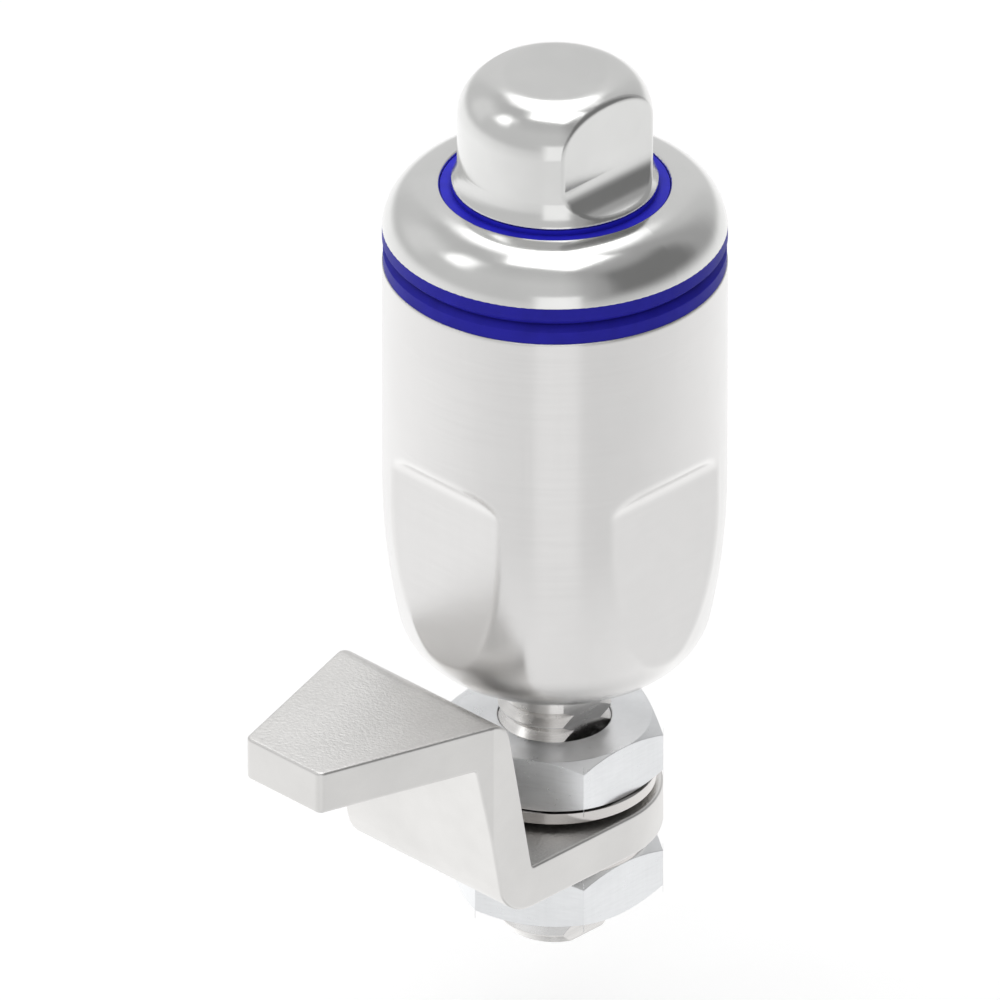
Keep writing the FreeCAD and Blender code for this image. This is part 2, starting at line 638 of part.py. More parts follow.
def make_actuator():
    body = new_body("actuator")
    sketch = new_sketch(body, "ActuatorSection", "XZ_Plane")
    outline(sketch, [
        (None, "head_top"),
        ("head_crown", "head_top", "head_round", "right"),
        ("head_radius", "head_round_base"),
        ("head_radius", "flare_top", "flare_radius", "left"),
        ("collar_radius", "rim_top"),
        ("collar_radius", "collar_base"),
        ("journal_radius", "collar_base"),
        ("journal_radius", "shoulder"),
        ("skirt_radius", "shoulder"),
        ("skirt_radius", "cord_groove_top"),
        ("cord_groove_radius", "cord_groove_top"),
        ("cord_groove_radius", "cord_groove_base"),
        ("skirt_radius", "cord_groove_base"),
        ("skirt_radius", "ring_groove_top"),
        ("ring_groove_radius", "ring_groove_top"),
        ("ring_groove_radius", "ring_groove_base"),
        ("skirt_radius", "ring_groove_base"),
        ("skirt_radius", "skirt_end"),
        ("actuator_bore", "skirt_end"),
        ("actuator_bore", "bore_top"),
        (None, "bore_top"),
    ])
    turn(body, "ActuatorTurned", sketch)
    flat = new_sketch(body, "HeadFlatSection", "XZ_Plane")
    outline(flat, [
        ("head_half_flats", "head_cut_top"),
        ("head_half_flats", "head_flats_base", "head_flats_fillet", "left"),
        ("head_cut_side", "head_cut_base"),
        ("head_cut_side", "head_cut_top"),
    ])
    cut = cut_through(body, "HeadFlat", flat)
    flats = repeat_round(body, "HeadFlats", cut, flat, 2)
    half = size("head_half_flats")
    base = size("head_flats_base")

    def on_flat(edge):
        ends = [abs(vertex.Point.x) for vertex in edge.Vertexes]
        return all(abs(end - half) < TOLERANCE for end in ends) and edge.CenterOfMass.z > base + TOLERANCE

    edges = edges_where(flats.Shape, on_flat)
    rounded = round_edges(body, "HeadFlatRounds", flats, edges, "head_edge_round")
    for name, height, radius in (
        ("CollarRimRound", "rim_top", "collar_rim_round"),
        ("CollarEdgeRound", "collar_base", "collar_edge_round"),
    ):
        edges = edges_where(rounded.Shape, collar_edge(size(height)))
        rounded = round_edges(body, name, rounded, edges, radius)
    cut_slots(body)
    return body


def collar_edge(level):
    """Test for the collar's outer edge at that level."""
    def at_level(edge):
        near = abs(edge.CenterOfMass.z - level) < TOLERANCE
        return near and on_circle(edge, size("collar_radius"))

    return at_level


def cut_slots(body):
    """Two slots that climb by the draw-in stroke over a quarter of a turn, with round ends."""
    lower_end = new_sketch(body, "SlotLowerEnd", "YZ_Plane")
    circle(lower_end, None, "pin_height", "slot_end_radius")
    cut_through(body, "SlotLowerEnds", lower_end)
    upper_end = new_sketch(body, "SlotUpperEnd", "XZ_Plane")
    circle(upper_end, None, "pin_raised", "slot_end_radius")
    cut_through(body, "SlotUpperEnds", upper_end)
    section = new_sketch(body, "SlotSection", "XZ_Plane")
    ring_outline(section, "slot_inner", "slot_outer", "slot_low", "slot_high")
    before = body.Shape.Volume
    slot = body.newObject("PartDesign::SubtractiveHelix", "Slot")
    slot.Profile = section
    slot.ReferenceAxis = (section, ["V_Axis"])
    slot.Mode = "pitch-height-angle"
    bind(slot, "Pitch", "slot_pitch")
    bind(slot, "Height", "draw_stroke")
    doc.recompute()
    check_cut(body, "Slot", before)
    repeat_round(body, "Slots", slot, section, 2)


# Bearings, rings and stops

def make_ring(label, inner, outer, base, top, angle=None):
    """Plain ring, or part of one."""
    body = new_body(label)
    sketch = new_sketch(body, f"{label}Section", "XZ_Plane")
    ring_outline(sketch, inner, outer, base, top)
    turn(body, f"{label}Turned", sketch, angle)
    return body


def make_o_ring():
    ring = doc.addObject("Part::Torus", "actuator_o_ring")
    ring.Label = "actuator_o_ring"
    bind(ring, "Radius1", "cord_centre_radius")
    bind(ring, "Radius2", "cord_radius")
    bind(ring, "Placement.Base.z", "cord_height")
    return ring


def make_stop_segment():
    """Part ring whose middle is half a turn from the middle of the lug's travel."""
    body = make_ring(
        "stop_segment", "segment_inner", "bush_radius", "bush_top", "segment_top", "segment_angle")
    body.Placement.Rotation = FreeCAD.Rotation(FreeCAD.Vector(0, 0, 1), 180)
    return body


def make_stop_disc():
    """Disc with a double-D hole and a lug. Its lug starts at the anticlockwise end of its travel."""
    body = new_body("stop_disc")
    sketch = new_sketch(body, "DiscSection", "XZ_Plane")
    outline(sketch, [
        (None, "disc_base"),
        (None, "disc_top"),
        ("disc_radius", "disc_top"),
        ("disc_radius", "disc_base"),
    ])
    turn(body, "DiscTurned", sketch)
    lug = new_sketch(body, "LugSection", "XZ_Plane")
    ring_outline(lug, "lug_root", "ring_outer", "disc_base", "disc_top")
    lug_start = size("turn_angle") / 2
    lug.AttachmentOffset = FreeCAD.Placement(
        FreeCAD.Vector(0, 0, 0), FreeCAD.Rotation(FreeCAD.Vector(0, 1, 0), lug_start))
    lug.setExpression("AttachmentOffset.Rotation.Angle", "Sizes.turn_angle / 2")
    turn(body, "Lug", lug, "lug_angle")
    hole = new_sketch(body, "DiscHole", "XY_Plane")
    double_d(hole, "hole_half", "hole_chord", "hole_radius")
    cut_through(body, "DiscBore", hole)
    return body


# Spindle and what moves with it

def make_spindle():
    body = new_body("spindle")
    sketch = new_sketch(body, "SpindleSection", "XZ_Plane")
    outline(sketch, [
        (None, "spigot_top"),
        ("spigot_radius", "spigot_top"),
        ("spigot_radius", "spindle_top"),
        ("spindle_radius", "spindle_top"),
        ("spindle_radius", "spindle_chamfer_top"),
        ("spindle_chamfer_radius", "spindle_end"),
        (None, "spindle_end"),
    ])
    turn(body, "SpindleTurned", sketch)
    thread(body, "SpindleThread", [
        ("spindle_root", "spindle_groove_mid"),
        ("spindle_clear", "spindle_clear_high"),
        ("spindle_clear", "spindle_clear_low"),
    ], "spindle_threaded")
    flats = new_sketch(body, "SpindleFlatSection", "XZ_Plane")
    for sign in ("", "-"):
        outline(flats, [
            (f"{sign}spindle_half_flats", "spindle_flats_top"),
            (f"{sign}spindle_cut_side", "spindle_flats_top"),
            (f"{sign}spindle_cut_side", "spindle_cut_base"),
            (f"{sign}spindle_half_flats", "spindle_cut_base"),
        ])
    cut_through(body, "SpindleFlats", flats)
    hole = new_sketch(body, "PinHoleSection", "YZ_Plane")
    circle(hole, None, "pin_height", "pin_radius")
    cut_through(body, "PinHole", hole)
    return body


def make_cross_pin():
    pin = doc.addObject("Part::Cylinder", "cross_pin")
    pin.Label = "cross_pin"
    bind(pin, "Radius", "pin_radius")
    bind(pin, "Height", "pin_reach")
    pin.Placement = FreeCAD.Placement(FreeCAD.Vector(), FreeCAD.Rotation(FreeCAD.Vector(0, 1, 0), 90))
    pin.setExpression("Placement.Base.x", "-Sizes.pin_reach / 2")
    bind(pin, "Placement.Base.z", "pin_height")
    return pin


def make_return_spring():
    body = new_body("return_spring")
    wire = new_sketch(body, "WireSection", "XZ_Plane")
    circle(wire, "spring_radius", "spring_base", "wire_radius")
    coil = body.newObject("PartDesign::AdditiveHelix", "Coil")
    coil.Profile = wire
    coil.ReferenceAxis = (wire, ["V_Axis"])
    coil.Mode = "pitch-height-angle"
    bind(coil, "Pitch", "spring_pitch")
    bind(coil, "Height", "spring_rise")
    doc.recompute()
    return body


def make_nut(label, base):
    """Thin hexagon nut with two corners along Y, built on its lower face and lifted to its place."""
    body = new_body(label)
    sketch = new_sketch(body, f"{label}Hexagon", "XY_Plane")
    outline(sketch, [
        (None, "nut_corner"),
        ("nut_half", "nut_half_side"),
        ("nut_half", "-nut_half_side"),
        (None, "-nut_corner"),
        ("-nut_half", "-nut_half_side"),
        ("-nut_half", "nut_half_side"),
    ])
    circle(sketch, None, None, "nut_bore")
    pad(body, f"{label}Pad", sketch, "nut_height")
    chamfers = new_sketch(body, f"{label}Chamfers", "XZ_Plane")
    outline(chamfers, [
        ("nut_half", "nut_height"),
        ("nut_clear", "nut_height"),
        ("nut_clear", "nut_chamfer_base"),
    ])
    outline(chamfers, [
        ("nut_half", None),
        ("nut_clear", "nut_chamfer_height"),
        ("nut_clear", None),
    ])
    outline(chamfers, [
        ("nut_bore", "nut_countersink_top"),
        ("nut_bore", "nut_height"),
        ("nut_countersunk", "nut_height"),
    ])
    outline(chamfers, [
        ("nut_bore", None),
        ("nut_bore", "nut_countersink"),
        ("nut_countersunk", None),
    ])
    before = body.Shape.Volume
    turn(body, f"{label}Turned", chamfers, kind="Groove")
    check_cut(body, label, before)
    bind(body, "Placement.Base.z", base)
    return body


def make_lock_washer():
    body = new_body("lock_washer")
    sketch = new_sketch(body, "DishSection", "XZ_Plane")
    outline(sketch, [
        ("washer_hole", "leaf_top"),
        ("washer_hole", "dish_hub_top"),
        ("dish_outer", "upper_nut_base"),
        ("dish_outer", "dish_rim_base"),
    ])
    turn(body, "DishTurned", sketch)
    return body


def make_tongue():
    """Flat bar bent twice. Its plan is cut first, then the space above and below the bends."""
    body = new_body("tongue")
    plan = new_sketch(body, "TonguePlan", "XY_Plane", "leaf_base")
    outline(plan, [
        ("tongue_half", None),
        ("tongue_half", "-taper_start"),
        ("tip_half", "-tongue_reach"),
        ("-tip_half", "-tongue_reach"),
        ("-tongue_half", "-taper_start"),
        ("-tongue_half", None, "tongue_half", "right"),
        (None, "tongue_half", "tongue_half", "right"),
    ])
    pad(body, "TongueBlank", plan, "tongue_rise")
    side = new_sketch(body, "TongueSide", "YZ_Plane")
    outline(side, [
        ("-riser_foot", "leaf_top"),
        ("-riser_inner_top", "strike_top"),
        ("-riser_inner_top", "flange_top"),
        ("tongue_clear", "flange_top"),
        ("tongue_clear", "leaf_top"),
    ])
    outline(side, [
        ("-riser_outer_foot", "leaf_base"),
        ("-riser_outer_top", "strike_base"),
        ("-tongue_clear", "strike_base"),
        ("-tongue_clear", "spindle_cut_base"),
        ("-riser_outer_foot", "spindle_cut_base"),
    ])
    bent = cut_through(body, "TongueBent", side)

    def across(y, z):
        """Test for the edge that runs along X at that place."""
        middle = FreeCAD.Vector(0, -size(y), size(z))
        return lambda edge: (edge.CenterOfMass - middle).Length < TOLERANCE

    edges = edges_where(bent.Shape, across("riser_outer_foot", "leaf_base"))
    lower = round_edges(body, "LowerBend", bent, edges, "lower_bend")
    edges = edges_where(lower.Shape, across("riser_inner_top", "strike_top"))
    upper = round_edges(body, "UpperBend", lower, edges, "upper_bend")

    def at_tip(edge):
        ends = [vertex.Point for vertex in edge.Vertexes]
        upright = math.hypot(ends[0].x - ends[-1].x, ends[0].y - ends[-1].y) < TOLERANCE
        return upright and abs(ends[0].y + size("tongue_reach")) < TOLERANCE

    tip = round_edges(body, "TipRounds", upper, edges_where(upper.Shape, at_tip), "tip_round")
    round_edges(body, "TongueRounds", tip, sharp_edges(tip.Shape), "tongue_edge_round")
    hole = new_sketch(body, "TongueHole", "XY_Plane")
    double_d(hole, "hole_half", "hole_chord", "hole_radius")
    cut_through(body, "TongueBore", hole)
    return body


def check_document():
    """Stops on a failed feature or a bad shape."""
    doc.recompute()
    for item in doc.Objects:
        if "Invalid" in item.State or "Error" in item.State:
            raise ValueError(f"{item.Label} failed: {item.State}")


def export(pieces):
    os.makedirs("parts", exist_ok=True)
    for piece in pieces:
        shape = piece.Shape
        if shape.isNull() or not shape.isValid() or not shape.Solids:
            raise ValueError(f"{piece.Label} has no good shape")
    for piece in pieces:
        piece.Shape.exportStep(f"parts/{piece.Label}.step")


fill_sheet()
pieces = [
    make_housing(),
    make_shaft_seal(),
    make_flange_seal(),
    make_cap_seal(),
    make_cap_nut(),
    make_ring("guide_bush", "actuator_bore", "bush_radius", "neck_end", "bush_top"),
    make_stop_segment(),
    make_ring("thrust_washer", "bearing_radius", "journal_radius", "shelf", "shoulder"),
    make_ring("shim_washer", "bearing_radius", "ring_outer", "shim_base", "chamber_top"),
    make_actuator(),
    make_o_ring(),
    make_ring("retaining_ring", "ring_seat_radius", "ring_outer", "ring_base", "ring_top", "ring_angle"),
    make_stop_disc(),
    make_spindle(),
    make_cross_pin(),
    make_return_spring(),
    make_nut("upper_nut", "upper_nut_base"),
    make_lock_washer(),
    make_tongue(),
    make_ring("lower_washer", "washer_hole", "lower_washer_outer", "lower_washer_base", "leaf_base"),
    make_nut("lower_nut", "lower_nut_base"),
]
check_document()
export(pieces)
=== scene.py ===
import json
import math

import bpy
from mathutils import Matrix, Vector


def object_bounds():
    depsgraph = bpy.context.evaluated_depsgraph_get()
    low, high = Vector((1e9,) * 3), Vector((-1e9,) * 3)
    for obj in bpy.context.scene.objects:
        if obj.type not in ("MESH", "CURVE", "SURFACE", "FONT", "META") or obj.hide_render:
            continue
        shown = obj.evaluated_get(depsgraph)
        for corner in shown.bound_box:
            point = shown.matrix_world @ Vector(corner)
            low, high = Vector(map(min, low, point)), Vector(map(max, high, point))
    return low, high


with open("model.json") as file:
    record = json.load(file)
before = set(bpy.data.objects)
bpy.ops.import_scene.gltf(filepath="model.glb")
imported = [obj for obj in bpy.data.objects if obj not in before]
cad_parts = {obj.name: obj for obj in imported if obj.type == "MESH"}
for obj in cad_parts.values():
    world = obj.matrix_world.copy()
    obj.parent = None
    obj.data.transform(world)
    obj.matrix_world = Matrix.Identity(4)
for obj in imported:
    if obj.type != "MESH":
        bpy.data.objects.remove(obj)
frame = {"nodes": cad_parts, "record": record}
cad_box = [list(corner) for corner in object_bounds()]
nodes = frame["nodes"]

MM = 0.001
WHITE = (1, 1, 1, 1)

# The view is nearly parallel, as in the photograph: a long lens far away.
AZIMUTH = math.radians(45)
ELEVATION = math.radians(30)
LENS = 1600
SENSOR = 36
FRAME_WIDTH = 86.957 * MM
# The middle of the picture, as its height and its distance to the right of the latch's axis.
TARGET_HEIGHT = -25.87 * MM
TARGET_SHIFT = -4.757 * MM

FLOOR_DROP = 12 * MM
FLOOR_SIZE = 6
FLOOR_SHADES = (0.84, 0.87)
FLOOR_ROUGHNESS = 0.9
FLOOR_GLOW = 0.36

# In the studio, azimuths and elevations are in degrees, and azimuth 0 is at the camera's side.
# Brightness at each elevation, where 1 is white.
STUDIO_LEVELS = (
    (-90, 0.45),
    (-70, 0.66),
    (-48, 0.91),
    (-30, 0.77),
    (-10, 0.7),
    (0, 0.61),
    (35, 0.63),
    (60, 0.53),
    (90, 0.53),
)
# The lower half brightens towards the back and the left, from the first elevation down and in full
# below the second.
LOWER_HALF = (5, -12)
BACK_GAIN = 0.45
SIDE_GAIN = 0.065
# Each panel: azimuth from and to, elevation from and to, softness of the edge, brightness.
STUDIO_PANELS = (
    (-128, -98, 8, 42, 9, 0.76),
    (152, 181, 0, 50, 7, 0.7),
    (-181, -152, 0, 50, 7, 0.7),
    (17, 132, -6, 70, 13, 0.385),
    (38, 105, 3, 50, 8, 0.195),
    (-90, -69, 32, 51, 7, 1.7),
    (-13, 16, -27, 10, 1.5, 1.03),
)
# The two lamps overhead are flat. Their sizes and places are distances for a height of 1.
SQUARE_LAMP_FRONT = 0.07
SQUARE_LAMP_TURN = math.radians(23)
SQUARE_LAMP_HALF = (0.3, 0.28)
SQUARE_LAMP_SOFT = 0.05
ROUND_LAMP_PLACE = (-0.02, -0.6)
ROUND_LAMP_HALF = (0.31, 0.42)
ROUND_LAMP_EDGE = (1.6, 0.7)
LAMP_LEVEL = 2.0
# A direction's rise counts as this at least, so that nothing is divided by 0.
LOWEST_RISE = 0.05

# Each noise: scale in 1/mm, detail, roughness.
STEEL_CLOUDS = (0.12, 4, 0.5)
STEEL_SMUDGES = (0.6, 5, 0.6)
STEEL_MARKS = (1.0, 3, 0.6)
RUBBER_CLOUDS = (0.5, 4, 0.5)
RUBBER_SKIN = (9.0, 4, 0.6)
FLOOR_CLOUDS = (0.02, 3, 0.5)
# Most noise lies in this range, round this mean.
NOISE_RANGE = (0.3, 0.7)
NOISE_MEAN = 0.5

# Each mark on steel: how often it changes along X, Y and Z in 1/mm, and its strength.
SMEARED = ((1.2, 1.2, 1.2), 0.3)
TURNED = ((0.12, 0.12, 3.2), 1.0)
BRUSHED = ((0.5, 0.5, 4.0), 1.0)
DRAWN = ((2.2, 2.2, 0.08), 0.5)
BLASTED = ((3.4, 3.4, 3.4), 1.0)
MARK_ROUGHNESS = 0.4
# Part of a turn from the tangent to the grain.
GRAIN_TURN = 0.25
# A face looks up when the upward part of its normal is past this range. The shade, a share of its colour,
# is painted shade that darkens faces that look up, and it also evens out their stronger marks.
TOP_RISE = (0.7, 0.95)
TOP_SHADE = 0.06
BEVEL_SAMPLES = 6

RUBBER_TINTS = (0.9, 1.08)
RUBBER_ROUGHNESS_SPREAD = 0.06
RUBBER_RELIEF = 0.006
RUBBER_EDGE = 0.1
# Painted shade in creases: ambient occlusion within this width darkens the colour, fully below the first
# opening and not at all above the second.
CREASE_WIDTH = 0.7 * MM
CREASE_OPENING = (0.25, 0.85)
CREASE_SAMPLES = 8

# Each steel: colour, roughness from and to, marks, and in millimetres the height of its relief and the
# rounding of its edges. The rest is said in steel().
STEELS = {
    "polished_steel": dict(
        colour=(0.80, 0.80, 0.79), rough=(0.13, 0.18), marks=(SMEARED,), relief=0.0004, edge=0.1,
    ),
    "turned_steel": dict(
        colour=(0.80, 0.792, 0.785), rough=(0.22, 0.25), marks=(TURNED, DRAWN), relief=0.0014, edge=0.5,
        grain=0.8, tint=0.01, lines=0.07,
    ),
    "nut_steel": dict(
        colour=(0.90, 0.912, 0.925), rough=(0.28, 0.34), marks=(BRUSHED, DRAWN), relief=0.0016, edge=0.1,
        lines=0.14,
    ),
    "tongue_steel": dict(
        colour=(0.782, 0.773, 0.759), rough=(0.32, 0.38), marks=(SMEARED,), relief=0.045, edge=0.12,
        top=(BLASTED,), lines=0.2,
    ),
    "rod_steel": dict(
        colour=(0.85, 0.835, 0.82), rough=(0.2, 0.3), marks=(TURNED,), relief=0.002, edge=0.05, lines=0.25,
    ),
    "washer_steel": dict(
        colour=(0.76, 0.735, 0.715), rough=(0.11, 0.17), marks=(TURNED, SMEARED), relief=0.0008, edge=0.05,
    ),
    "inner_steel": dict(
        colour=(0.70, 0.70, 0.70), rough=(0.28, 0.38), marks=(TURNED, SMEARED), relief=0.003, edge=0.05,
    ),
    "spring_steel": dict(
        colour=(0.66, 0.66, 0.67), rough=(0.18, 0.26), marks=(SMEARED,), relief=0.002, edge=0.02,
    ),
}

# Each rubber or plastic: colour, colour of the painted shade deep in its creases, roughness, gloss.
RUBBERS = {
    "blue_rubber": dict(colour=(0.021, 0.018, 0.42), painted_crease_shade=(0.004, 0.001, 0.12), rough=0.5, gloss=0.16),
    "black_rubber": dict(colour=(0.02, 0.02, 0.02), painted_crease_shade=(0.008, 0.008, 0.008), rough=0.5, gloss=0.3),
    "bearing_plastic": dict(colour=(0.80, 0.78, 0.70), painted_crease_shade=(0.4, 0.38, 0.33), rough=0.42, gloss=0.5),
    # The shaft's seal: the blue rubber made lighter, as painted light on its upward face.
    "shaft_seal_painted_light_rubber": dict(colour=(0.028, 0.026, 0.66), painted_crease_shade=(0.006, 0.004, 0.3), rough=0.5, gloss=0.2),
}


# Node helpers

def add(tree, kind, inputs=None, **properties):
    """Adds a node. An input is given a value or another node's output."""
    made = tree.nodes.new(kind)
    for name, value in properties.items():
        setattr(made, name, value)
    for name, value in (inputs or {}).items():
        if isinstance(value, bpy.types.NodeSocket):
            tree.links.new(value, made.inputs[name])
        else:
            made.inputs[name].default_value = value
    return made


def maths(tree, operation, *values):
    return add(tree, "ShaderNodeMath", dict(enumerate(values)), operation=operation).outputs[0]


def scaled(tree, vector, factor):
    return add(tree, "ShaderNodeVectorMath", {0: vector, 3: factor}, operation="SCALE").outputs[0]


# A Mix node takes its share at 0, two numbers at 2 and 3, and two colours at 6 and 7.
def mixed(tree, share, first, second):
    return add(tree, "ShaderNodeMix", {0: share, 2: first, 3: second}, data_type="FLOAT").outputs[0]


def opaque(colour):
    return colour if isinstance(colour, bpy.types.NodeSocket) else (*colour, 1)


def mixed_colour(tree, share, first, second):
    """Mixes two colours. Each is red, green and blue, or another node's output."""
    inputs = {0: share, 6: opaque(first), 7: opaque(second)}
    return add(tree, "ShaderNodeMix", inputs, data_type="RGBA").outputs[2]


def smooth(tree, value, low, high):
    """0 below low and 1 above high, with a soft step between."""
    inputs = {"Value": value, "From Min": low, "From Max": high}
    return add(tree, "ShaderNodeMapRange", inputs, interpolation_type="SMOOTHSTEP").outputs["Result"]


def spread(tree, value, low, high):
    """Spreads a noise value over a range."""
    first, last = NOISE_RANGE
    inputs = {"Value": value, "From Min": first, "From Max": last, "To Min": low, "To Max": high}
    return add(tree, "ShaderNodeMapRange", inputs).outputs["Result"]


def noise(tree, place, scale, detail, roughness):
    inputs = {"Vector": place, "Scale": scale, "Detail": detail, "Roughness": roughness}
    return add(tree, "ShaderNodeTexNoise", inputs).outputs["Fac"]


def millimetres(tree):
    """The object's own coordinates, in millimetres."""
    return scaled(tree, add(tree, "ShaderNodeTexCoord").outputs["Object"], 1 / MM)


def new_material(name):
    material = bpy.data.materials.new(name)
    material.use_nodes = True
    tree = material.node_tree
    return material, tree, tree.nodes["Principled BSDF"]


def bumped(tree, height, relief, edge):
    """Normal with fine relief, and with sharp edges rounded. Both lengths are in millimetres."""
    rounded = add(tree, "ShaderNodeBevel", {"Radius": edge * MM}, samples=BEVEL_SAMPLES).outputs["Normal"]
    inputs = {"Height": height, "Distance": relief * MM, "Normal": rounded}
    return add(tree, "ShaderNodeBump", inputs).outputs["Normal"]


# Materials

def layers(tree, place, marks):
    """Sum of the stretched noises of the marks."""
    height = None
    for scale, strength in marks:
        stretched = add(tree, "ShaderNodeMapping", {"Vector": place, "Scale": scale}).outputs["Vector"]
        layer = maths(tree, "MULTIPLY", noise(tree, stretched, *STEEL_MARKS), strength)
        height = layer if height is None else maths(tree, "ADD", height, layer)
    return height


def steel(name, colour, rough, marks, relief, edge, grain=0.0, tint=0.04, top=None, lines=0.0):
    """Stainless steel with marks in its relief and roughness.

    grain stretches the reflections, tint is how far clouds change the colour, and lines how far the
    marks do. Faces that look up have the marks in top, if it is given, and a painted shade of TOP_SHADE.
    """
    material, tree, shader = new_material(name)
    place = millimetres(tree)
    height = layers(tree, place, marks)
    middle = NOISE_MEAN * sum(strength for scale, strength in marks)
    scatter = maths(tree, "SUBTRACT", height, middle)
    low, high = rough
    smudge = spread(tree, noise(tree, place, *STEEL_SMUDGES), low, high)
    roughness = maths(tree, "ADD", smudge, maths(tree, "MULTIPLY", scatter, MARK_ROUGHNESS * high))

    painted_top_shade = 1.0
    if top:
        normal = add(tree, "ShaderNodeNewGeometry").outputs["True Normal"]
        rise = add(tree, "ShaderNodeSeparateXYZ", {0: normal}).outputs["Z"]
        upward = smooth(tree, rise, *TOP_RISE)
        height = mixed(tree, upward, height, layers(tree, place, top))
        scatter = maths(tree, "SUBTRACT", height, middle)
        # Painted shade: faces that look up get a colour darker by the share TOP_SHADE.
        painted_top_shade = maths(tree, "SUBTRACT", 1.0, maths(tree, "MULTIPLY", upward, TOP_SHADE))
    cloud = spread(tree, noise(tree, place, *STEEL_CLOUDS), 0, 1)
    dark = [channel * (1 - tint) for channel in colour]
    light = [min(channel * (1 + tint), 1.0) for channel in colour]
    shade = maths(tree, "ADD", maths(tree, "MULTIPLY", scatter, lines), painted_top_shade)

    tree.links.new(scaled(tree, mixed_colour(tree, cloud, dark, light), shade), shader.inputs["Base Color"])
    tree.links.new(roughness, shader.inputs["Roughness"])
    tree.links.new(bumped(tree, height, relief, edge), shader.inputs["Normal"])
    shader.inputs["Metallic"].default_value = 1.0
    if grain:
        shader.inputs["Anisotropic"].default_value = grain
        shader.inputs["Anisotropic Rotation"].default_value = GRAIN_TURN
        tangent = add(tree, "ShaderNodeTangent", direction_type="RADIAL", axis="Z").outputs[0]
        tree.links.new(tangent, shader.inputs["Tangent"])
    return material


def rubber(name, colour, painted_crease_shade, rough, gloss):
    """Moulded rubber or plastic with a dull skin, and painted shade that darkens its creases."""
    material, tree, shader = new_material(name)
    place = millimetres(tree)
    cloud = spread(tree, noise(tree, place, *RUBBER_CLOUDS), 0, 1)
    skin = noise(tree, place, *RUBBER_SKIN)
    dark, light = ([channel * tint for channel in colour] for tint in RUBBER_TINTS)
    # Painted shade: the colour darkens toward the crease colour where ambient occlusion finds a crease.
    occlusion = add(tree, "ShaderNodeAmbientOcclusion", {"Distance": CREASE_WIDTH}, samples=CREASE_SAMPLES)
    opening = smooth(tree, occlusion.outputs["AO"], *CREASE_OPENING)
    shaded = mixed_colour(tree, opening, painted_crease_shade, mixed_colour(tree, cloud, dark, light))
    low, high = rough - RUBBER_ROUGHNESS_SPREAD, rough + RUBBER_ROUGHNESS_SPREAD

    tree.links.new(shaded, shader.inputs["Base Color"])
    tree.links.new(spread(tree, skin, low, high), shader.inputs["Roughness"])
    tree.links.new(bumped(tree, skin, RUBBER_RELIEF, RUBBER_EDGE), shader.inputs["Normal"])
    shader.inputs["Specular IOR Level"].default_value = gloss
    return material


def dress_nodes():
    """Gives each CAD node the finish of its material slot. The shaft's seal gets a lighter copy of the
    blue, which is painted light.
    """
    finishes = {name: steel(name, **looks) for name, looks in STEELS.items()}
    finishes.update({name: rubber(name, **looks) for name, looks in RUBBERS.items()})
    for part in frame["record"]["subparts"]:
        name = "shaft_seal_painted_light_rubber" if part["node"] == "shaft_seal" else part["material_slot"]
        for slot in nodes[part["node"]].material_slots:
            slot.material = finishes[name]


# Studio

def toward(azimuth, elevation):
    """Direction from the object to a viewer. Azimuth 0 is at -Y, and 90 degrees at +X."""
    level = math.cos(elevation)
    return Vector((math.sin(azimuth) * level, -math.cos(azimuth) * level, math.sin(elevation)))


def seen_directly(tree):
    """1 for what the camera sees, straight or in metal and glass."""
    path = add(tree, "ShaderNodeLightPath").outputs
    glossy = maths(tree, "MAXIMUM", path["Is Camera Ray"], path["Is Glossy Ray"])
    return maths(tree, "MAXIMUM", glossy, path["Is Transmission Ray"])


def floor_paint():
    """Pale paint that keeps the shadow and reads as white where it is lit."""
    material, tree, shader = new_material("floor_paint")
    shade = spread(tree, noise(tree, millimetres(tree), *FLOOR_CLOUDS), *FLOOR_SHADES)
    paint = add(tree, "ShaderNodeCombineColor", {0: shade, 1: shade, 2: shade}).outputs[0]
    glow = maths(tree, "MULTIPLY", seen_directly(tree), FLOOR_GLOW)
    tree.links.new(paint, shader.inputs["Base Color"])
    tree.links.new(glow, shader.inputs["Emission Strength"])
    shader.inputs["Emission Color"].default_value = WHITE
    shader.inputs["Roughness"].default_value = FLOOR_ROUGHNESS
    return material


def add_floor():
    lowest = cad_box[0][2]
    mesh = bpy.data.meshes.new("floor")
    half = FLOOR_SIZE / 2
    corners = [(-half, -half, 0), (half, -half, 0), (half, half, 0), (-half, half, 0)]
    mesh.from_pydata(corners, [], [(0, 1, 2, 3)])
    mesh.materials.append(floor_paint())
    floor = bpy.data.objects.new("floor", mesh)
    bpy.context.scene.collection.objects.link(floor)
    floor.location.z = lowest - FLOOR_DROP
    floor.visible_glossy = False


def between(tree, value, low, high, soft):
    rise = smooth(tree, value, low - soft, low + soft)
    fall = smooth(tree, value, high + soft, high - soft)
    return maths(tree, "MULTIPLY", rise, fall)


def panel(tree, first, second, level, below):
    """Soft rectangle of one level over what is below it. Each side is (value, low, high, soft)."""
    inside = maths(tree, "MULTIPLY", between(tree, *first), between(tree, *second))
    return mixed(tree, inside, below, level)


def square_lamp(tree, aside, ahead, below):
    """Turned rectangular lamp over what is below it."""
    ahead = maths(tree, "SUBTRACT", ahead, SQUARE_LAMP_FRONT)
    cosine, sine = math.cos(SQUARE_LAMP_TURN), math.sin(SQUARE_LAMP_TURN)
    along = maths(tree, "MULTIPLY_ADD", ahead, sine, maths(tree, "MULTIPLY", aside, cosine))
    across = maths(tree, "MULTIPLY_ADD", aside, -sine, maths(tree, "MULTIPLY", ahead, cosine))
    half_length, half_width = SQUARE_LAMP_HALF
    length = (along, -half_length, half_length, SQUARE_LAMP_SOFT)
    width = (across, -half_width, half_width, SQUARE_LAMP_SOFT)
    return panel(tree, length, width, LAMP_LEVEL, below)


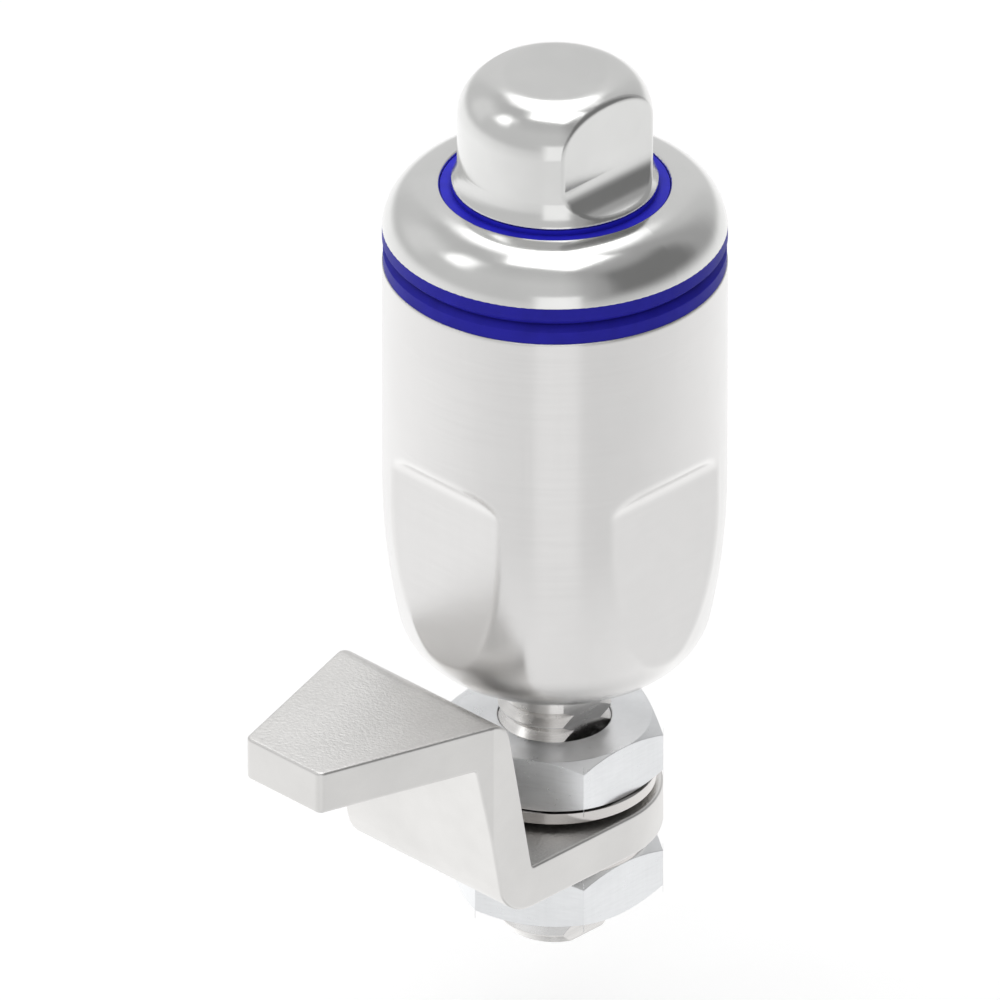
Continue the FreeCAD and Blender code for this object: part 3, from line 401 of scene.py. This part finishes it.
def round_lamp(tree, aside, ahead, below):
    """Oval lamp over what is below it."""
    squares = []
    for value, middle, half in zip((aside, ahead), ROUND_LAMP_PLACE, ROUND_LAMP_HALF):
        share = maths(tree, "DIVIDE", maths(tree, "SUBTRACT", value, middle), half)
        squares.append(maths(tree, "POWER", maths(tree, "ABSOLUTE", share), 2.0))
    distance = maths(tree, "SQRT", maths(tree, "ADD", *squares))
    return mixed(tree, smooth(tree, distance, *ROUND_LAMP_EDGE), below, LAMP_LEVEL)


def level_at_height(tree, up):
    """Brightness of the studio by elevation. A ramp runs from straight down to straight up."""
    ramp = add(tree, "ShaderNodeValToRGB", {0: maths(tree, "MULTIPLY_ADD", up, 0.5, 0.5)})
    elements = ramp.color_ramp.elements
    while len(elements) < len(STUDIO_LEVELS):
        elements.new(0.5)
    for element, (elevation, level) in zip(elements, STUDIO_LEVELS):
        element.position = (math.sin(math.radians(elevation)) + 1) / 2
        element.color = (level, level, level, 1)
    return ramp.outputs[0]


def gain_below(tree, front, right, elevation):
    """How much brighter the lower half is towards the back and the left."""
    back = maths(tree, "MULTIPLY", maths(tree, "SUBTRACT", 1.0, front), BACK_GAIN / 2)
    gain = maths(tree, "SUBTRACT", back, maths(tree, "MULTIPLY", right, SIDE_GAIN))
    below = smooth(tree, elevation, *LOWER_HALF)
    return maths(tree, "ADD", maths(tree, "MULTIPLY", gain, below), 1.0)


def add_world():
    """Studio that lights the latch and is seen in its metal, while the camera sees white.

    It is palest aslant below, and has soft boxes, dark flags and two lamps.
    """
    world = bpy.data.worlds.new("studio")
    bpy.context.scene.world = world
    world.use_nodes = True
    tree = world.node_tree
    tree.nodes.clear()
    direction = add(tree, "ShaderNodeTexCoord").outputs["Generated"]

    def part_along(axis):
        inputs = {0: direction, 1: axis}
        return add(tree, "ShaderNodeVectorMath", inputs, operation="DOT_PRODUCT").outputs["Value"]

    front = part_along(toward(AZIMUTH, 0))
    right = part_along(toward(AZIMUTH + math.pi / 2, 0))
    up = part_along((0, 0, 1))
    azimuth = maths(tree, "DEGREES", maths(tree, "ARCTAN2", right, front))
    elevation = maths(tree, "DEGREES", maths(tree, "ARCSINE", up))

    gain = gain_below(tree, front, right, elevation)
    level = maths(tree, "MULTIPLY", level_at_height(tree, up), gain)
    for left_end, right_end, low, high, soft, shade in STUDIO_PANELS:
        width = (azimuth, left_end, right_end, soft)
        level = panel(tree, width, (elevation, low, high, soft), shade, level)
    rise = maths(tree, "MAXIMUM", up, LOWEST_RISE)
    ahead = maths(tree, "DIVIDE", front, rise)
    aside = maths(tree, "DIVIDE", right, rise)
    level = round_lamp(tree, aside, ahead, level)
    level = square_lamp(tree, aside, ahead, level)

    lit = add(tree, "ShaderNodeBackground", {"Color": level, "Strength": 1.0}).outputs[0]
    plain = add(tree, "ShaderNodeBackground", {"Color": WHITE, "Strength": 1.0}).outputs[0]
    camera_only = add(tree, "ShaderNodeLightPath").outputs["Is Camera Ray"]
    surface = add(tree, "ShaderNodeMixShader", {0: camera_only, 1: lit, 2: plain}).outputs[0]
    add(tree, "ShaderNodeOutputWorld", {"Surface": surface})


def add_camera():
    direction = toward(AZIMUTH, ELEVATION)
    right = toward(AZIMUTH + math.pi / 2, 0)
    target = Vector((0, 0, TARGET_HEIGHT)) + right * TARGET_SHIFT
    lens = bpy.data.cameras.new("camera")
    lens.lens = LENS
    lens.sensor_width = SENSOR
    camera = bpy.data.objects.new("camera", lens)
    bpy.context.scene.collection.objects.link(camera)
    camera.location = target + direction * (FRAME_WIDTH * LENS / SENSOR)
    camera.rotation_mode = "QUATERNION"
    camera.rotation_quaternion = direction.to_track_quat("Z", "Y")
    bpy.context.scene.camera = camera


dress_nodes()
add_floor()
add_world()
add_camera()
bpy.context.scene.view_settings.view_transform = "Standard"
